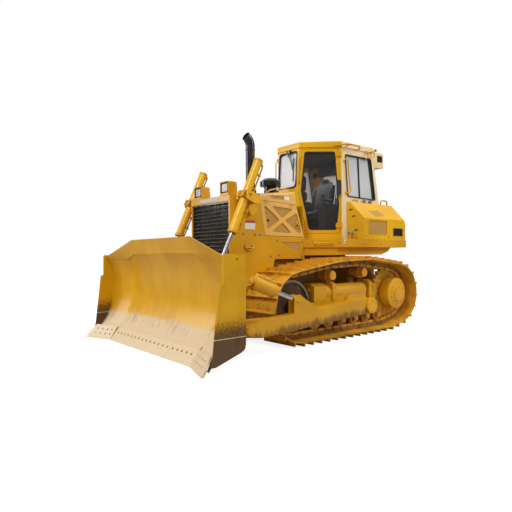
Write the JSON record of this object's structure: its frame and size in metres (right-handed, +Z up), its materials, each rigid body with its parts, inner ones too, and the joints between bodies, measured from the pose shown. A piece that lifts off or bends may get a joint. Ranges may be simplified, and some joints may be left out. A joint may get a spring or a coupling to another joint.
{
  "type": "bulldozer",
  "caption": "Crawler bulldozer with a lifting semi-U blade on push arms, hydraulic lift cylinders, opening engine side doors and an enclosed cab with hinged doors.",
  "frame": {"origin": "on the ground, in the middle of the machine's width, halfway between the corner bits' tips and the rearmost grouser", "axes": "+Z up, -Y the way the machine faces, +X its left side"},
  "size_m": [3.6, 5.2869, 3.5136],
  "materials": {
    "yellow_paint": "gloss machine yellow with dust",
    "worn_steel": "dirty worn cast steel",
    "black_paint": "satin black",
    "chrome_rod": "polished",
    "clear_glass": "clear",
    "grey_fabric": "woven",
    "grey_plastic": "moulded",
    "grey_iron": "painted"
  },
  "bodies": {
    "chassis": {"air_unit": "yellow_paint", "cab_fittings": "grey_plastic", "cab_glass": "clear_glass", "cab_roof": "yellow_paint", "cab_shell": "yellow_paint", "engine": "grey_iron", "exhaust_stack": "black_paint", "final_drives": "yellow_paint", "fuel_tank": "yellow_paint", "grille": "black_paint", "headlights": "yellow_paint", "hood": "yellow_paint", "hull": "yellow_paint", "idlers": "worn_steel", "lift_yokes": "yellow_paint", "platform": "yellow_paint", "precleaner": "black_paint", "radiator_guard": "yellow_paint", "rear_hitch": "yellow_paint", "rollers": "worn_steel", "seat": "grey_fabric", "side_boxes": "yellow_paint", "side_skirts": "yellow_paint", "sprockets": "worn_steel", "track_frames": "yellow_paint", "track_l": "worn_steel", "track_r": "worn_steel"},
    "blade": {"mouldboard": "yellow_paint", "end_plates": "yellow_paint", "spill_guard": "yellow_paint", "cutting_edges": "yellow_paint", "blade_back": "yellow_paint", "push_arms": "yellow_paint", "tilt_cylinder": "yellow_paint", "blade_braces": "yellow_paint"},
    "lift_cylinder_l": {"lift_barrel_l": "yellow_paint"},
    "lift_cylinder_r": {"lift_barrel_r": "yellow_paint"},
    "lift_piston_l": {"lift_rod_l": "chrome_rod"},
    "lift_piston_r": {"lift_rod_r": "chrome_rod"},
    "engine_cover_l": {"engine_door_l": "yellow_paint"},
    "engine_cover_r": {"engine_door_r": "yellow_paint"},
    "door_l": {"cab_door_l": "yellow_paint", "door_glass_l": "clear_glass"},
    "door_r": {"cab_door_r": "yellow_paint", "door_glass_r": "clear_glass"}
  },
  "joints": [
    {"name": "blade_lift", "type": "hinge", "parent": "chassis", "child": "blade", "pos_m": [0, 0.805, 0.54], "axis": [-1, 0, 0], "range_deg": [-7, 18]},
    {"name": "lift_cylinder_swing_l", "type": "hinge", "parent": "chassis", "child": "lift_cylinder_l", "pos_m": [0.76, -1.157, 2.264], "axis": [-1, 0, 0], "range_deg": [-4.13, 10.62]},
    {"name": "lift_rod_slide_l", "type": "slide", "parent": "lift_cylinder_l", "child": "lift_piston_l", "axis": [0, -0.4202, -0.9074], "range_m": [-0.79797, 0.31032]},
    {"name": "lift_cylinder_swing_r", "type": "hinge", "parent": "chassis", "child": "lift_cylinder_r", "pos_m": [-0.76, -1.157, 2.264], "axis": [-1, 0, 0], "range_deg": [-4.13, 10.62]},
    {"name": "lift_rod_slide_r", "type": "slide", "parent": "lift_cylinder_r", "child": "lift_piston_r", "axis": [0, -0.4202, -0.9074], "range_m": [-0.79797, 0.31032]},
    {"name": "cab_door_swing_l", "type": "hinge", "parent": "chassis", "child": "door_l", "pos_m": [0.81081, 0.99617, 2.4], "axis": [0, 0, 1], "range_deg": [0, 110]},
    {"name": "engine_door_swing_l", "type": "hinge", "parent": "chassis", "child": "engine_cover_l", "pos_m": [0.5693, -0.302, 2.2445], "axis": [0, -0.9991, 0.0435], "range_deg": [0, 80]},
    {"name": "cab_door_swing_r", "type": "hinge", "parent": "chassis", "child": "door_r", "pos_m": [-0.81081, 0.99617, 2.4], "axis": [0, 0, -1], "range_deg": [0, 110]},
    {"name": "engine_door_swing_r", "type": "hinge", "parent": "chassis", "child": "engine_cover_r", "pos_m": [-0.5693, -0.302, 2.2445], "axis": [0, 0.9991, -0.0435], "range_deg": [0, 80]}
  ],
  "couplings": [
    {"joint": "lift_cylinder_swing_l", "follows": "blade_lift", "ratio": 0.59},
    {"joint": "lift_rod_slide_l", "follows": "blade_lift", "m_per_rad": -2.54},
    {"joint": "lift_cylinder_swing_r", "follows": "blade_lift", "ratio": 0.59},
    {"joint": "lift_rod_slide_r", "follows": "blade_lift", "m_per_rad": -2.54}
  ]
}
